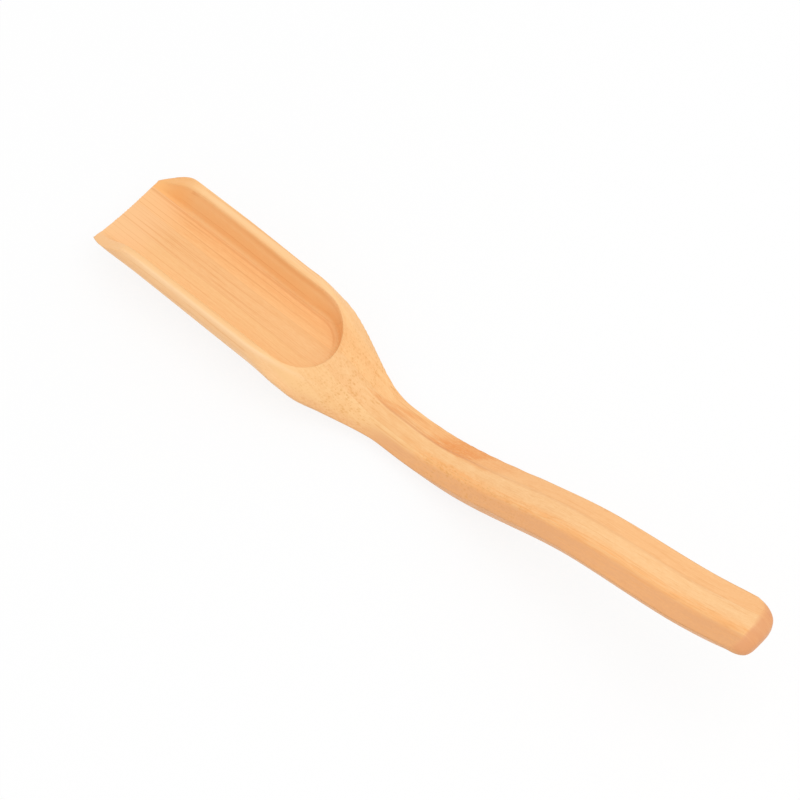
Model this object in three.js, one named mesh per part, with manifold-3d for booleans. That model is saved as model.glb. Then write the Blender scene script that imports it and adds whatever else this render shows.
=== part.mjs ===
// Tea scoop carved from a blank of bamboo strips glued side by side.
// Millimetres, +Z up. +X runs from the bowl's front edge to the handle's end, +Y to the far wall.
// The origin is below the middle of the length, on the surface that the scoop rests on.
import * as THREE from 'three';
import { mergeVertices } from 'three/addons/utils/BufferGeometryUtils.js';
import Module from 'manifold-3d';

const wasm = await Module();
wasm.setup();

// Lengths along the scoop
const overallLength = 175;
const bowlLength = 51.6; // front edge to where the sides start to draw in
const rimLength = 45; // front edge to where the rim starts to fall to the neck
const shoulderLength = 25.8; // from the bowl's sides to the narrowest point
const neckLength = 6.1; // the level bottom of the dip behind the shoulder
const dipLead = 2; // how far ahead of the narrowest point the dip starts
const riseLength = 49.7; // from the neck to the start of the grip
const gripLength = 24; // the first stretch of the grip, before its end lifts again

// Widths
const bowlWidth = 25.1;
const neckWidth = 11.6;
const gripWidth = 13.5;
const rimRidgeWidth = 23.2; // across the highest lines of the two walls
const topFlatWidth = 4.4; // the narrow flat along the neck and handle
const bellyFlatWidth = 9; // the flat under the bowl
const soleFlatWidth = 6; // the flat under the neck, which the scoop rests on
const handleFlatWidth = 2.8; // the flat under the handle

// Heights above the resting surface
const rimHeight = 15.1;
const neckHeight = 5.4;
const gripStartHeight = 21.5;
const gripMiddleHeight = 26.7;
const endHeight = 34.1;
const gripThickness = 8.6;
const floorHeight = 7.85; // at the foot of the walls
const floorDish = 0.35; // how much lower the middle of the floor is
const frontEdgeThickness = 1;
const soleStart = 56.5; // the underside is level from here
const soleEnd = 91.8; // to here, under the shoulder, the neck and the start of the rise

// Section shape
const wallWaist = 3.3; // depth of the widest line below the rim
const neckWaist = 2.2;
const gripWaist = 1.0;
const wallSlope = 56; // degrees at the outer edge of the rim
const neckSlope = 31; // degrees of the flanks beside the top flat
const gripSlope = 15;
const bellyFullness = 1.5; // 1 is a straight chamfer, 2 is an ellipse

// Handle end
const endBulge = 8.1; // how far the end face swells out in the middle, seen from above
const endLean = 0.39; // how far it leans back for each millimetre of height
const keelLength = 13; // the stretch over which the underside curves up to the end
const keelRise = 4.6; // how far it comes up there

// Bowl
const wallThickness = 3; // at the foot of the rim's rounding
const wallDraft = 1.3; // how far the inner walls lean in from there to the floor
const rimRounding = 1.3;
const floorFillet = 1.4;
const cavityLength = 60.2; // front edge to the back of the cavity at its mouth
const rakeAngle = 43; // degrees, the front ends of the walls where they leave the floor
const frontHollow = 0.1; // how far the front edge draws back in the middle

// Blank
const stripThickness = 5;

// Facets
const sectionStep = 2.5;
const flankSteps = 6;
const bellySteps = 8;
const endSteps = 5;
const roundSteps = 4;
const dishSteps = 4;
const cavityEndSteps = 18;
const clear = 5; // how far a cutter reaches past the wood

const neckAt = bowlLength + shoulderLength;
const dipAt = neckAt - dipLead;
const riseAt = dipAt + neckLength;
const gripAt = riseAt + riseLength;
const gripMiddleAt = gripAt + gripLength;
const cavityHalf = bowlWidth / 2 - wallThickness;

// A smooth curve through [x, value] pairs that never swings past a value between two of them.
function along(stations, x) {
  const slopes = [];
  for (let i = 0; i < stations.length - 1; i += 1) {
    slopes.push((stations[i + 1][1] - stations[i][1]) / (stations[i + 1][0] - stations[i][0]));
  }
  const lean = stations.map((station, i) => {
    if (i === 0) {
      return slopes[0];
    }
    if (i === slopes.length) {
      return slopes[i - 1];
    }
    const before = slopes[i - 1];
    const after = slopes[i];
    return before * after > 0 ? (2 * before * after) / (before + after) : 0;
  });
  let k = 0;
  while (k < slopes.length - 1 && x > stations[k + 1][0]) {
    k += 1;
  }
  const span = stations[k + 1][0] - stations[k][0];
  const s = (x - stations[k][0]) / span;
  const rise = s * s * (3 - 2 * s);
  return (
    stations[k][1] * (1 - rise) +
    stations[k + 1][1] * rise +
    span * (lean[k] * s * (1 - s) * (1 - s) - lean[k + 1] * s * s * (1 - s))
  );
}

const halfWidthLine = [
  [0, bowlWidth / 2],
  [bowlLength, bowlWidth / 2],
  [neckAt, neckWidth / 2],
  [gripMiddleAt, gripWidth / 2],
  [overallLength, gripWidth / 2],
];
const ridgeLine = [
  [0, rimRidgeWidth / 2],
  [rimLength, rimRidgeWidth / 2],
  [dipAt, topFlatWidth / 2],
  [overallLength, topFlatWidth / 2],
];
const topLine = [
  [0, rimHeight],
  [rimLength, rimHeight],
  [dipAt, neckHeight],
  [riseAt, neckHeight],
  [gripAt, gripStartHeight],
  [gripMiddleAt, gripMiddleHeight],
  [overallLength, endHeight],
];
const bottomLine = [
  [0, floorHeight - floorDish - frontEdgeThickness],
  [soleStart, 0],
  [soleEnd, 0],
  [gripAt, gripStartHeight - gripThickness],
  [gripMiddleAt, gripMiddleHeight - gripThickness],
  [overallLength, endHeight - gripThickness],
];
const bottomFlatLine = [
  [0, bellyFlatWidth / 2],
  [bowlLength, bellyFlatWidth / 2],
  [neckAt, soleFlatWidth / 2],
  [soleEnd, soleFlatWidth / 2],
  [gripAt, handleFlatWidth / 2],
  [overallLength, handleFlatWidth / 2],
];
const waistLine = [
  [0, wallWaist],
  [rimLength, wallWaist],
  [neckAt, neckWaist],
  [gripAt, gripWaist],
  [overallLength, gripWaist],
];
const slopeLine = [
  [0, wallSlope],
  [bowlLength, wallSlope],
  [neckAt, neckSlope],
  [riseAt + neckLength, neckSlope],
  [gripAt, gripSlope],
  [overallLength, gripSlope],
];

// One side of a section, from the ridge beside the top flat, out over the flank and round to the bottom flat.
function halfSection(x) {
  const wide = along(halfWidthLine, x);
  const ridge = along(ridgeLine, x);
  const top = along(topLine, x);
  const keel = THREE.MathUtils.clamp((x - overallLength + keelLength) / keelLength, 0, 1);
  const bottom = along(bottomLine, x) + keelRise * (1 - Math.sqrt(1 - keel * keel));
  const flat = along(bottomFlatLine, x);
  const waist = Math.max(top - along(waistLine, x), (top + bottom) / 2);
  const fall = (wide - ridge) * Math.tan(THREE.MathUtils.degToRad(along(slopeLine, x)));
  const bend = Math.max(top - fall, waist);
  const outline = new THREE.Path();
  outline.moveTo(ridge, top);
  outline.quadraticCurveTo(wide, bend, wide, waist);
  const points = outline.getPoints(flankSteps);
  for (let i = 1; i <= bellySteps; i += 1) {
    const turn = (i / bellySteps) * (Math.PI / 2);
    const out = i === bellySteps ? 0 : Math.cos(turn) ** (2 / bellyFullness);
    const down = Math.sin(turn) ** (2 / bellyFullness);
    points.push(new THREE.Vector2(flat + (wide - flat) * out, waist - (waist - bottom) * down));
  }
  return points;
}

// The section at x as a ring, counter-clockwise from the handle's end. A shift sets it further along.
function section(x, shift = 0) {
  const outline = halfSection(x);
  const near = outline.map((point) => new THREE.Vector3(x + shift, -point.x, point.y));
  const far = outline.map((point) => new THREE.Vector3(x + shift, point.x, point.y));
  return [...near, ...far.reverse()];
}

// A closed skin over a row of rings that have equally many points, with flat convex ends.
function loft(rings) {
  const size = rings[0].length;
  const positions = [];
  const triangle = (a, b, c) => positions.push(...a, ...b, ...c);
  for (let i = 0; i < rings.length - 1; i += 1) {
    for (let j = 0; j < size; j += 1) {
      const next = (j + 1) % size;
      triangle(rings[i][j], rings[i][next], rings[i + 1][next]);
      triangle(rings[i][j], rings[i + 1][next], rings[i + 1][j]);
    }
  }
  const last = rings[rings.length - 1];
  for (let j = 1; j < size - 1; j += 1) {
    triangle(rings[0][0], rings[0][j + 1], rings[0][j]);
    triangle(last[0], last[j], last[j + 1]);
  }
  const geometry = new THREE.BufferGeometry();
  geometry.setAttribute('position', new THREE.Float32BufferAttribute(positions, 3));
  return geometry;
}

function toSolid(geometry) {
  const bare = geometry.clone();
  bare.deleteAttribute('normal');
  bare.deleteAttribute('uv');
  const merged = mergeVertices(bare.index ? bare.toNonIndexed() : bare);
  const vertProperties = new Float32Array(merged.attributes.position.array);
  const triVerts = new Uint32Array(merged.index.array);
  return new wasm.Manifold(new wasm.Mesh({ numProp: 3, vertProperties, triVerts }));
}

function toGeometry(solid) {
  const mesh = solid.getMesh();
  const geometry = new THREE.BufferGeometry();
  geometry.setAttribute('position', new THREE.BufferAttribute(mesh.vertProperties, 3));
  geometry.setIndex(new THREE.BufferAttribute(mesh.triVerts, 1));
  geometry.computeVertexNormals();
  return geometry;
}

// The uncut body: bowl, shoulder, neck and handle in one sweep, a little too long.
function bodySolid() {
  const straight = overallLength - keelLength;
  const count = Math.round(straight / sectionStep);
  const rings = [];
  for (let i = 0; i <= count; i += 1) {
    rings.push(section((i / count) * straight));
  }
  for (let i = 1; i <= endSteps; i += 1) {
    rings.push(section(straight + keelLength * Math.sin((i / endSteps) * (Math.PI / 2))));
  }
  rings.push(section(overallLength, clear));
  return toSolid(loft(rings));
}

// What the handle's end loses: all outside a half ellipse, seen from above, that leans back with height.
function endSolid() {
  const shape = new THREE.Shape();
  const half = gripWidth / 2;
  const from = overallLength - endBulge;
  const foot = endHeight - gripThickness + keelRise;
  shape.moveTo(from, -half - clear);
  shape.lineTo(from, -half);
  shape.absellipse(from, 0, endBulge, half, -Math.PI / 2, Math.PI / 2, false);
  shape.lineTo(from, half + clear);
  shape.lineTo(overallLength + 2 * clear, half + clear);
  shape.lineTo(overallLength + 2 * clear, -half - clear);
  const geometry = new THREE.ExtrudeGeometry(shape, {
    depth: endHeight + clear,
    bevelEnabled: false,
    curveSegments: 4 * endSteps,
  });
  geometry.translate(0, 0, -foot);
  geometry.applyMatrix4(new THREE.Matrix4().makeShear(0, 0, 0, 0, -endLean, 0));
  geometry.translate(0, 0, foot);
  return toSolid(geometry);
}

// The cavity's outline at one level: open at the front, a half circle at the back.
function cavityOutline(half, height) {
  const centre = cavityLength - cavityHalf;
  const ring = [new THREE.Vector3(-clear, half, height), new THREE.Vector3(-clear, -half, height)];
  for (let i = 0; i <= cavityEndSteps; i += 1) {
    const turn = (i / cavityEndSteps - 0.5) * Math.PI;
    ring.push(new THREE.Vector3(centre + half * Math.cos(turn), half * Math.sin(turn), height));
  }
  return ring;
}

function cavitySolid() {
  const rings = [];
  const foot = cavityHalf - wallDraft;
  const floorHalf = foot - floorFillet;
  for (let i = 1; i < dishSteps; i += 1) {
    const out = i / dishSteps;
    rings.push(cavityOutline(floorHalf * out, floorHeight - floorDish * (1 - out * out)));
  }
  for (let i = 0; i <= roundSteps; i += 1) {
    const turn = (i / roundSteps) * (Math.PI / 2);
    const rise = floorFillet * (1 - Math.cos(turn));
    rings.push(cavityOutline(floorHalf + floorFillet * Math.sin(turn), floorHeight + rise));
  }
  const mouth = rimHeight - rimRounding;
  const flare = rimRidgeWidth / 2 - cavityHalf;
  for (let i = 0; i <= roundSteps; i += 1) {
    const turn = (i / roundSteps) * (Math.PI / 2);
    const out = flare * (1 - Math.cos(turn));
    rings.push(cavityOutline(cavityHalf + out, mouth + rimRounding * Math.sin(turn)));
  }
  rings.push(cavityOutline(rimRidgeWidth / 2, rimHeight + clear));
  return toSolid(loft(rings));
}

// What the front ends of the walls lose: all above an arc that rises from the floor's edge to the rim.
function rakeSolid() {
  const rake = THREE.MathUtils.degToRad(rakeAngle);
  const radius = (rimHeight - floorHeight) / (1 - Math.cos(rake));
  const reach = radius * Math.sin(rake);
  const shape = new THREE.Shape();
  shape.moveTo(-clear, floorHeight);
  shape.lineTo(0, floorHeight);
  shape.absarc(reach, rimHeight - radius, radius, Math.PI / 2 + rake, Math.PI / 2, true);
  shape.lineTo(reach, rimHeight + clear);
  shape.lineTo(-clear, rimHeight + clear);
  const geometry = new THREE.ExtrudeGeometry(shape, {
    depth: bowlWidth + 2 * clear,
    bevelEnabled: false,
    curveSegments: 2 * roundSteps,
  });
  geometry.rotateX(Math.PI / 2);
  geometry.translate(0, bowlWidth / 2 + clear, 0);
  return toSolid(geometry);
}

// What the front edge loses to its slight hollow, seen from above.
function hollowSolid() {
  const shape = new THREE.Shape();
  const half = bowlWidth / 2;
  shape.moveTo(-clear, -half);
  shape.lineTo(0, -half);
  shape.quadraticCurveTo(2 * frontHollow, 0, 0, half);
  shape.lineTo(-clear, half);
  const geometry = new THREE.ExtrudeGeometry(shape, {
    depth: rimHeight + 2 * clear,
    bevelEnabled: false,
    curveSegments: 2 * roundSteps,
  });
  geometry.translate(0, 0, -clear);
  return toSolid(geometry);
}

// A block of the blank between two distances from the front edge and two sides.
function block(fromX, toX, fromY, toY) {
  const height = endHeight + 2 * clear;
  const geometry = new THREE.BoxGeometry(toX - fromX, toY - fromY, height);
  geometry.translate((fromX + toX) / 2, (fromY + toY) / 2, height / 2 - clear);
  return toSolid(geometry);
}

const bowlCutters = cavitySolid().add(rakeSolid()).add(hollowSolid());
const scoop = bodySolid().subtract(bowlCutters).subtract(endSolid());

const seam = stripThickness / 2;
const outerSeam = seam + stripThickness;
const side = bowlWidth / 2 + clear;
const front = -clear;
const back = overallLength + clear;

const strips = [
  { name: 'centre_strip', colour: 0xf3c48a, blank: block(front, back, -seam, seam) },
  {
    name: 'near_inner_strip',
    colour: 0xefbd82,
    blank: block(front, back, -outerSeam, -seam).add(block(neckAt, back, -side, -outerSeam)),
  },
  {
    name: 'far_inner_strip',
    colour: 0xf0bf86,
    blank: block(front, back, seam, outerSeam).add(block(neckAt, back, outerSeam, side)),
  },
  { name: 'near_wall_strip', colour: 0xeab67c, blank: block(front, neckAt, -side, -outerSeam) },
  { name: 'far_wall_strip', colour: 0xf2c188, blank: block(front, neckAt, outerSeam, side) },
];

const group = new THREE.Group();
group.position.x = -overallLength / 2;
for (const strip of strips) {
  const geometry = toGeometry(scoop.intersect(strip.blank));
  const material = new THREE.MeshStandardMaterial({ color: strip.colour, roughness: 0.55, metalness: 0 });
  const mesh = new THREE.Mesh(geometry, material);
  mesh.name = strip.name;
  group.add(mesh);
}

export default group;
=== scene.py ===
# Tea scoop carved from a blank of bamboo strips glued side by side
import math

import bmesh
import bpy
from mathutils import Matrix, Vector, noise


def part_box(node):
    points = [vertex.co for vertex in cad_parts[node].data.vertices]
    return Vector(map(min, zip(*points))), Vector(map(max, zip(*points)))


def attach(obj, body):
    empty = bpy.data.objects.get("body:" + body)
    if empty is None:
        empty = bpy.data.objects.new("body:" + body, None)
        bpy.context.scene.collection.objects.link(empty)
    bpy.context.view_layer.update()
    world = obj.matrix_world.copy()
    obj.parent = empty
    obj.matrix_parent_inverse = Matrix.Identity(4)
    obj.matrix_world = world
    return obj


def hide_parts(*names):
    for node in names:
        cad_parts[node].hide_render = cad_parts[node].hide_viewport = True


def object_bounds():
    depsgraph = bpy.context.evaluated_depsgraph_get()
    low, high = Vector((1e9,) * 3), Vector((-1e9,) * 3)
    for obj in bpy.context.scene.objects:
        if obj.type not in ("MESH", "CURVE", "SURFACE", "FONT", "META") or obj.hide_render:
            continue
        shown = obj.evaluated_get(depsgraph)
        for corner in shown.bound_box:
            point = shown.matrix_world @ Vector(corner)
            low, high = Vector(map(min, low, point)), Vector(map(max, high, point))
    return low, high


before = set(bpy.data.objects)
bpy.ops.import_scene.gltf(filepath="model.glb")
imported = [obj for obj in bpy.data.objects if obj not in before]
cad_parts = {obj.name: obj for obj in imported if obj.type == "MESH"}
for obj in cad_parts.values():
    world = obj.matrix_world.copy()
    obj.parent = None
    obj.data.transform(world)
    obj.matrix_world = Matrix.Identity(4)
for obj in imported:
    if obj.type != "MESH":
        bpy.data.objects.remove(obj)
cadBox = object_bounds()
mm = 0.001
touching = 1e-7  # metres, points closer than this are one
print("frame loaded:", len(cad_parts), "strips")

# The carved form, in millimetres and degrees, x from the trough's front edge
overallLength = cadBox[1].x * 2 / mm
bowlWidth = (cadBox[1].y - cadBox[0].y) / mm
form = {
    "bowlLength": 51.6,
    "rimLength": 45,
    "shoulderLength": 25.8,
    "neckLength": 6.1,
    "dipLead": 2,
    "riseLength": 49.7,
    "gripLength": 24,
    "neckWidth": 11.6,
    "gripWidth": 13.5,
    "rimRidgeWidth": 23.2,
    "ridgeInset": 0.4,  # a ridge stays at least this far inside the widest line
    "topFlatWidth": 4.4,
    "bellyFlatWidth": 9,
    "soleFlatWidth": 6,
    "handleFlatWidth": 2.8,
    "rimHeight": 15.1,
    "neckHeight": 5.4,
    "gripStartHeight": 21.5,
    "gripMiddleHeight": 26.7,
    "endHeight": 34.1,
    "gripThickness": 8.6,
    "floorHeight": 7.85,
    "floorDish": 0.35,
    "frontEdge": 1,
    "soleStart": 56.5,
    "soleEnd": 91.8,
    "wallWaist": 3.3,
    "neckWaist": 2.2,
    "gripWaist": 1.0,
    "wallSlope": 56,
    "neckSlope": 31,
    "gripSlope": 15,
    "endBulge": 8.1,
    "keelLength": 13,
    "wallThickness": 3,
    "wallDraft": 1.3,
    "rimRounding": 1.3,
    "floorFillet": 1.4,
    "cavityLength": 60.2,
}

# How finely it is carved: counts of points and rows, and the rows' spacing in millimetres
carving = {
    "topSteps": 78,
    "flankSteps": 24,
    "bellySteps": 32,
    "outerSteps": 40,
    "bottomSteps": 6,
    "frontRows": 5,
    "rowSteps": [(20, 0.45), (44, 1), (63, 0.2), (80, 0.5)],  # as far as x, and the spacing
    "handleStep": 1,
    "endProbes": 60,
    "tailRows": 45,
    "edgeRows": 10,
    "faceRows": 18,
}

# How far it is sanded, in millimetres, with lists of (x, value)
sanding = {
    "cavityEdge": 0.35,  # blend between the cavity and the wood round it
    "nearEdge": [(0, 0.25), (48, 0.25), (60, 1.9), (76, 1.3), (105, 0.8), (128, 0.2), (175, 0.2)],
    "farEdge": [(0, 0.25), (48, 0.25), (60, 1.9), (67, 1.2), (73, 0.14), (175, 0.16)],
    "steepest": 6,  # rise over run of an edge's blend
    "frontEdge": 0.2,  # radius at the front edge
    "thinShare": 0.3,  # of the thickness, the most that the front edge is drawn in
    "thinReach": 0.25,  # how far to each side the thickness is looked at
    "endEdge": 2.1,  # radius round the handle's end
    "unevenness": 0.05,
    "unevenPitch": (0.07, 0.16, 0.16),  # turns per millimetre
    "soleClear": 0.6,  # below this the sole stays level
}

# What the knife left different from side to side, in millimetres, with lists of (x, value)
handWork = {
    "farRidge": [
        (0, 11.6), (45, 11.6), (55, 9.3), (62, 5.0), (68, 1.7), (75, 1.0),
        (88, 1.0), (95, 1.5), (105, 1.8), (120, 2.2), (175, 2.2),
    ],
    "step": [(0, 0), (66, 0), (76, 0.16), (90, 0.3), (99, 0.2), (114, 0), (175, 0)],
    "stepReach": 0.5,
    "frontFullness": [(0, 2.4), (16, 1.5), (175, 1.5)],
    "frontWidth": 12.35,
    "frontTaper": 18,
    "farRake": [
        (0, 7.85), (2, 9.0), (4, 10.4), (6, 11.95), (8, 13.4),
        (10, 14.5), (13, 15.0), (16, 15.1), (175, 15.1),
    ],
    "nearRake": [
        (0, 8.5), (2, 9.6), (4, 10.8), (6, 12.1), (8, 13.4),
        (10, 14.5), (13, 15.0), (16, 15.1), (175, 15.1),
    ],
    "frontReach": 12,  # how far back the front edge's own line is felt
    "frontHollow": 0.2,
    "frontShort": -0.06,
    "nearCut": (0.95, 12),  # the front edge runs back towards each corner: how far, and how late
    "farCut": (0.4, 8),
    "keelRise": 5.4,
    "endLean": 0.5,
    "endShort": 0.95,
    "farEnd": (6.2, 2.4),  # the end's plan: set back at the side, and how square the corner is
    "nearEnd": (5.2, 3.5),
    "rimSquareness": (2.0, 3.0),  # of the rounding into the trough, near and far
    "rimTurn": (-4, 4),
    "farCorner": [(0, 1.2), (2, 0.65), (5, 0.15), (8, 0), (175, 0)],
    "farBow": [(0, 0), (24, 0), (32, 0.14), (38, 0.3), (42, 0.38), (46, 0.3), (50, 0.1), (54, 0), (175, 0)],
    "bowReach": 8,
    "bowOutside": 0.4,  # shares of the bow at the outside and at the ridge
    "bowRidge": 1.2,
    "nearSwell": [(0, -0.45), (3, -0.1), (6, 0), (54, 0), (59, 0.35), (64, 0), (175, 0)],
}

neckAt = form["bowlLength"] + form["shoulderLength"]
dipAt = neckAt - form["dipLead"]
riseAt = dipAt + form["neckLength"]
gripAt = riseAt + form["riseLength"]
gripMiddleAt = gripAt + form["gripLength"]
cavityHalf = bowlWidth / 2 - form["wallThickness"]
cavityCentre = form["cavityLength"] - cavityHalf

halfWidthLine = [
    (0, handWork["frontWidth"]),
    (handWork["frontTaper"], bowlWidth / 2),
    (form["bowlLength"], bowlWidth / 2),
    (neckAt, form["neckWidth"] / 2),
    (gripMiddleAt, form["gripWidth"] / 2),
    (overallLength, form["gripWidth"] / 2),
]
ridgeLine = [
    (0, form["rimRidgeWidth"] / 2),
    (form["rimLength"], form["rimRidgeWidth"] / 2),
    (dipAt, form["topFlatWidth"] / 2),
    (overallLength, form["topFlatWidth"] / 2),
]
topLine = [
    (0, form["rimHeight"]),
    (form["rimLength"], form["rimHeight"]),
    (dipAt, form["neckHeight"]),
    (riseAt, form["neckHeight"]),
    (gripAt, form["gripStartHeight"]),
    (gripMiddleAt, form["gripMiddleHeight"]),
    (overallLength, form["endHeight"]),
]
bottomLine = [
    (0, form["floorHeight"] - form["floorDish"] - form["frontEdge"]),
    (form["soleStart"], 0),
    (form["soleEnd"], 0),
    (gripAt, form["gripStartHeight"] - form["gripThickness"]),
    (gripMiddleAt, form["gripMiddleHeight"] - form["gripThickness"]),
    (overallLength, form["endHeight"] - form["gripThickness"]),
]
bottomFlatLine = [
    (0, form["bellyFlatWidth"] / 2),
    (form["bowlLength"], form["bellyFlatWidth"] / 2),
    (neckAt, form["soleFlatWidth"] / 2),
    (form["soleEnd"], form["soleFlatWidth"] / 2),
    (gripAt, form["handleFlatWidth"] / 2),
    (overallLength, form["handleFlatWidth"] / 2),
]
waistLine = [
    (0, form["wallWaist"]),
    (form["rimLength"], form["wallWaist"]),
    (neckAt, form["neckWaist"]),
    (gripAt, form["gripWaist"]),
    (overallLength, form["gripWaist"]),
]
slopeLine = [
    (0, form["wallSlope"]),
    (form["bowlLength"], form["wallSlope"]),
    (neckAt, form["neckSlope"]),
    (riseAt + form["neckLength"], form["neckSlope"]),
    (gripAt, form["gripSlope"]),
    (overallLength, form["gripSlope"]),
]


def ramp(value, low, high):  # 0 at low, 1 at high and straight between them
    return min(max((value - low) / (high - low), 0), 1)


def bell(distance, spread):
    return math.exp(-(distance / spread) ** 2)


def lineAt(stations, x):  # smooth through the stations, and never past them
    slopes = [(b[1] - a[1]) / (b[0] - a[0]) for a, b in zip(stations, stations[1:])]
    k = 0
    while k < len(slopes) - 1 and x > stations[k + 1][0]:
        k += 1
    lean = []
    for i in (k, k + 1):
        if i == 0 or i == len(slopes):
            lean.append(slopes[max(i - 1, 0)])
            continue
        before, after = slopes[i - 1], slopes[i]
        lean.append(2 * before * after / (before + after) if before * after > 0 else 0)
    span = stations[k + 1][0] - stations[k][0]
    s = (x - stations[k][0]) / span
    rise = s * s * (3 - 2 * s)
    bend = span * (lean[0] * s * (1 - s) ** 2 - lean[1] * s * s * (1 - s))
    return stations[k][1] * (1 - rise) + stations[k + 1][1] * rise + bend


def softMin(a, b, reach):  # the lower height, blended where the two are closer than reach
    near = max(reach - abs(a - b), 0) / reach
    return min(a, b) - near * near * reach / 4


def rakeHeight(x, side):  # the rim, with the walls' front ends rising to it
    return lineAt(handWork["farRake" if side > 0 else "nearRake"], x)


def wallHeight(r, y):  # the trough's wall over its floor, out from the middle
    foot = cavityHalf - form["wallDraft"]
    fillet = form["floorFillet"]
    floorHalf = foot - fillet
    if r <= floorHalf:
        return 0
    if r <= foot:
        out = (r - floorHalf) / fillet
        return fillet * (1 - math.sqrt(1 - out * out))
    mouth = form["rimHeight"] - form["rimRounding"] - form["floorHeight"]
    if r <= cavityHalf:
        return fillet + (mouth - fillet) * (r - foot) / form["wallDraft"]
    out = min((r - cavityHalf) / (form["rimRidgeWidth"] / 2 - cavityHalf), 1)
    soft, square = handWork["rimSquareness"]
    power = soft + (square - soft) * ramp(y, *handWork["rimTurn"])
    return mouth + form["rimRounding"] * (1 - (1 - out) ** power) ** (1 / power)


def cavityHeight(x, y):
    if y > 0:
        y += lineAt(handWork["farBow"], x) * min(y / handWork["bowReach"], 1)
    r = math.hypot(max(x - cavityCentre, 0), y)
    if r > form["rimRidgeWidth"] / 2 + 0.01:  # outside the trough, above all the wood
        return form["endHeight"]
    floorHalf = cavityHalf - form["wallDraft"] - form["floorFillet"]
    dish = form["floorDish"] * max(1 - (r / floorHalf) ** 2, 0)
    low = (rakeHeight(x, y) - form["floorHeight"]) / (form["rimHeight"] - form["floorHeight"])
    return form["floorHeight"] - dish + wallHeight(r, y) * low


def outerOutline(x, side):  # ridge, flank, widest line and belly down to the bottom flat
    wide, ridge, step = lineAt(halfWidthLine, x), lineAt(ridgeLine, x), 0
    if side > 0:
        bow = lineAt(handWork["farBow"], x)
        wide -= bow * handWork["bowOutside"] + lineAt(handWork["farCorner"], x)
        ridge = lineAt(handWork["farRidge"], x) - bow * handWork["bowRidge"]
        step = lineAt(handWork["step"], x)
    else:
        wide += lineAt(handWork["nearSwell"], x)
    ridge = min(ridge, wide - form["ridgeInset"])
    top = lineAt(topLine, x)
    keel = ramp(x, overallLength - form["keelLength"], overallLength)
    bottom = lineAt(bottomLine, x) + handWork["keelRise"] * (1 - math.sqrt(1 - keel * keel))
    flat = lineAt(bottomFlatLine, x)
    waist = max(top - lineAt(waistLine, x), (top + bottom) / 2)
    bend = max(top - (wide - ridge) * math.tan(math.radians(lineAt(slopeLine, x))), waist)
    points = []
    count = carving["flankSteps"]
    for i in range(count + 1):
        s = i / count
        a, b, c = (1 - s) ** 2, 2 * s * (1 - s), s * s
        y = a * ridge + (b + c) * wide
        sunk = min((y - ridge) / handWork["stepReach"], 1) * step * a
        points.append((y, a * top + b * bend + c * waist - sunk))
    power = 2 / lineAt(handWork["frontFullness"], x)
    count = carving["bellySteps"]
    for i in range(1, count + 1):
        turn = i / count * math.pi / 2
        out = max(math.cos(turn), 0) ** power if i < count else 0
        points.append((flat + (wide - flat) * out, waist - (waist - bottom) * math.sin(turn) ** power))
    return points


def spaced(points, count):  # the same line with evenly spaced points
    run = [0]
    for a, b in zip(points, points[1:]):
        run.append(run[-1] + math.hypot(b[0] - a[0], b[1] - a[1]))
    out = []
    k = 0
    for i in range(count + 1):
        at = run[-1] * i / count
        while k < len(points) - 2 and run[k + 1] < at:
            k += 1
        s = min((at - run[k]) / max(run[k + 1] - run[k], 1e-9), 1)
        a, b = points[k], points[k + 1]
        out.append((a[0] + (b[0] - a[0]) * s, a[1] + (b[1] - a[1]) * s))
    return out


def halfSection(x, side):  # from the top's middle round to the bottom's middle, y counted outwards
    line = outerOutline(x, side)
    rake = rakeHeight(x, side)
    if x < form["rimLength"] and line[0][1] > rake:
        k = next(i for i, p in enumerate(line) if p[1] <= rake)
        a, b = line[k - 1], line[k]
        s = (a[1] - rake) / (a[1] - b[1])
        line = [(a[0] + (b[0] - a[0]) * s, rake)] + line[k:]
    edgeY, edgeZ = line[0]
    fall = (edgeZ - line[2][1]) / max(line[2][0] - edgeY, 1e-6)
    steep = min(fall, sanding["steepest"]) if fall >= 0 else sanding["steepest"]
    soft = lineAt(sanding["farEdge" if side > 0 else "nearEdge"], x)
    level = softMin(edgeZ, cavityHeight(x, edgeY * side), sanding["cavityEdge"])
    half = []
    for j in range(carving["topSteps"]):
        y = edgeY * j / carving["topSteps"]
        z = softMin(edgeZ, cavityHeight(x, y * side), sanding["cavityEdge"])
        half.append((y, softMin(z, level + steep * (edgeY - y), soft)))
    outer = spaced(line, carving["outerSteps"])
    half += [(y, softMin(z, level, soft)) for y, z in outer]
    flat, bottom = outer[-1]
    for j in range(1, carving["bottomSteps"] + 1):
        half.append((flat * (1 - j / carving["bottomSteps"]), bottom))
    return half


def ringAt(x):  # the whole section, once round
    near = halfSection(x, -1)
    return halfSection(x, 1) + [(-y, z) for y, z in near[-2:0:-1]]


def drawnIn(ring, depth):  # the ring with its edge moved inwards, less where the wood is thin
    out = []
    for k, (y, z) in enumerate(ring):
        before, after = ring[k - 2], ring[(k + 2) % len(ring)]
        along = Vector((after[0] - before[0], after[1] - before[1]))
        along.normalize()
        heights = [b for a, b in ring if abs(a - y) < sanding["thinReach"]]
        inward = min(depth, sanding["thinShare"] * (max(heights) - min(heights)))
        out.append((y + along.y * inward, z - along.x * inward))
    return out


def frontAt(x, y):  # x with the front edge slightly hollow and cut back towards each corner
    out = abs(2 * y / bowlWidth)
    cut, power = handWork["farCut" if y > 0 else "nearCut"]
    inward = handWork["frontHollow"] * (1 - out ** 2) + handWork["frontShort"] + cut * out ** power
    return x + inward * max(1 - x / handWork["frontReach"], 0)


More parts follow.
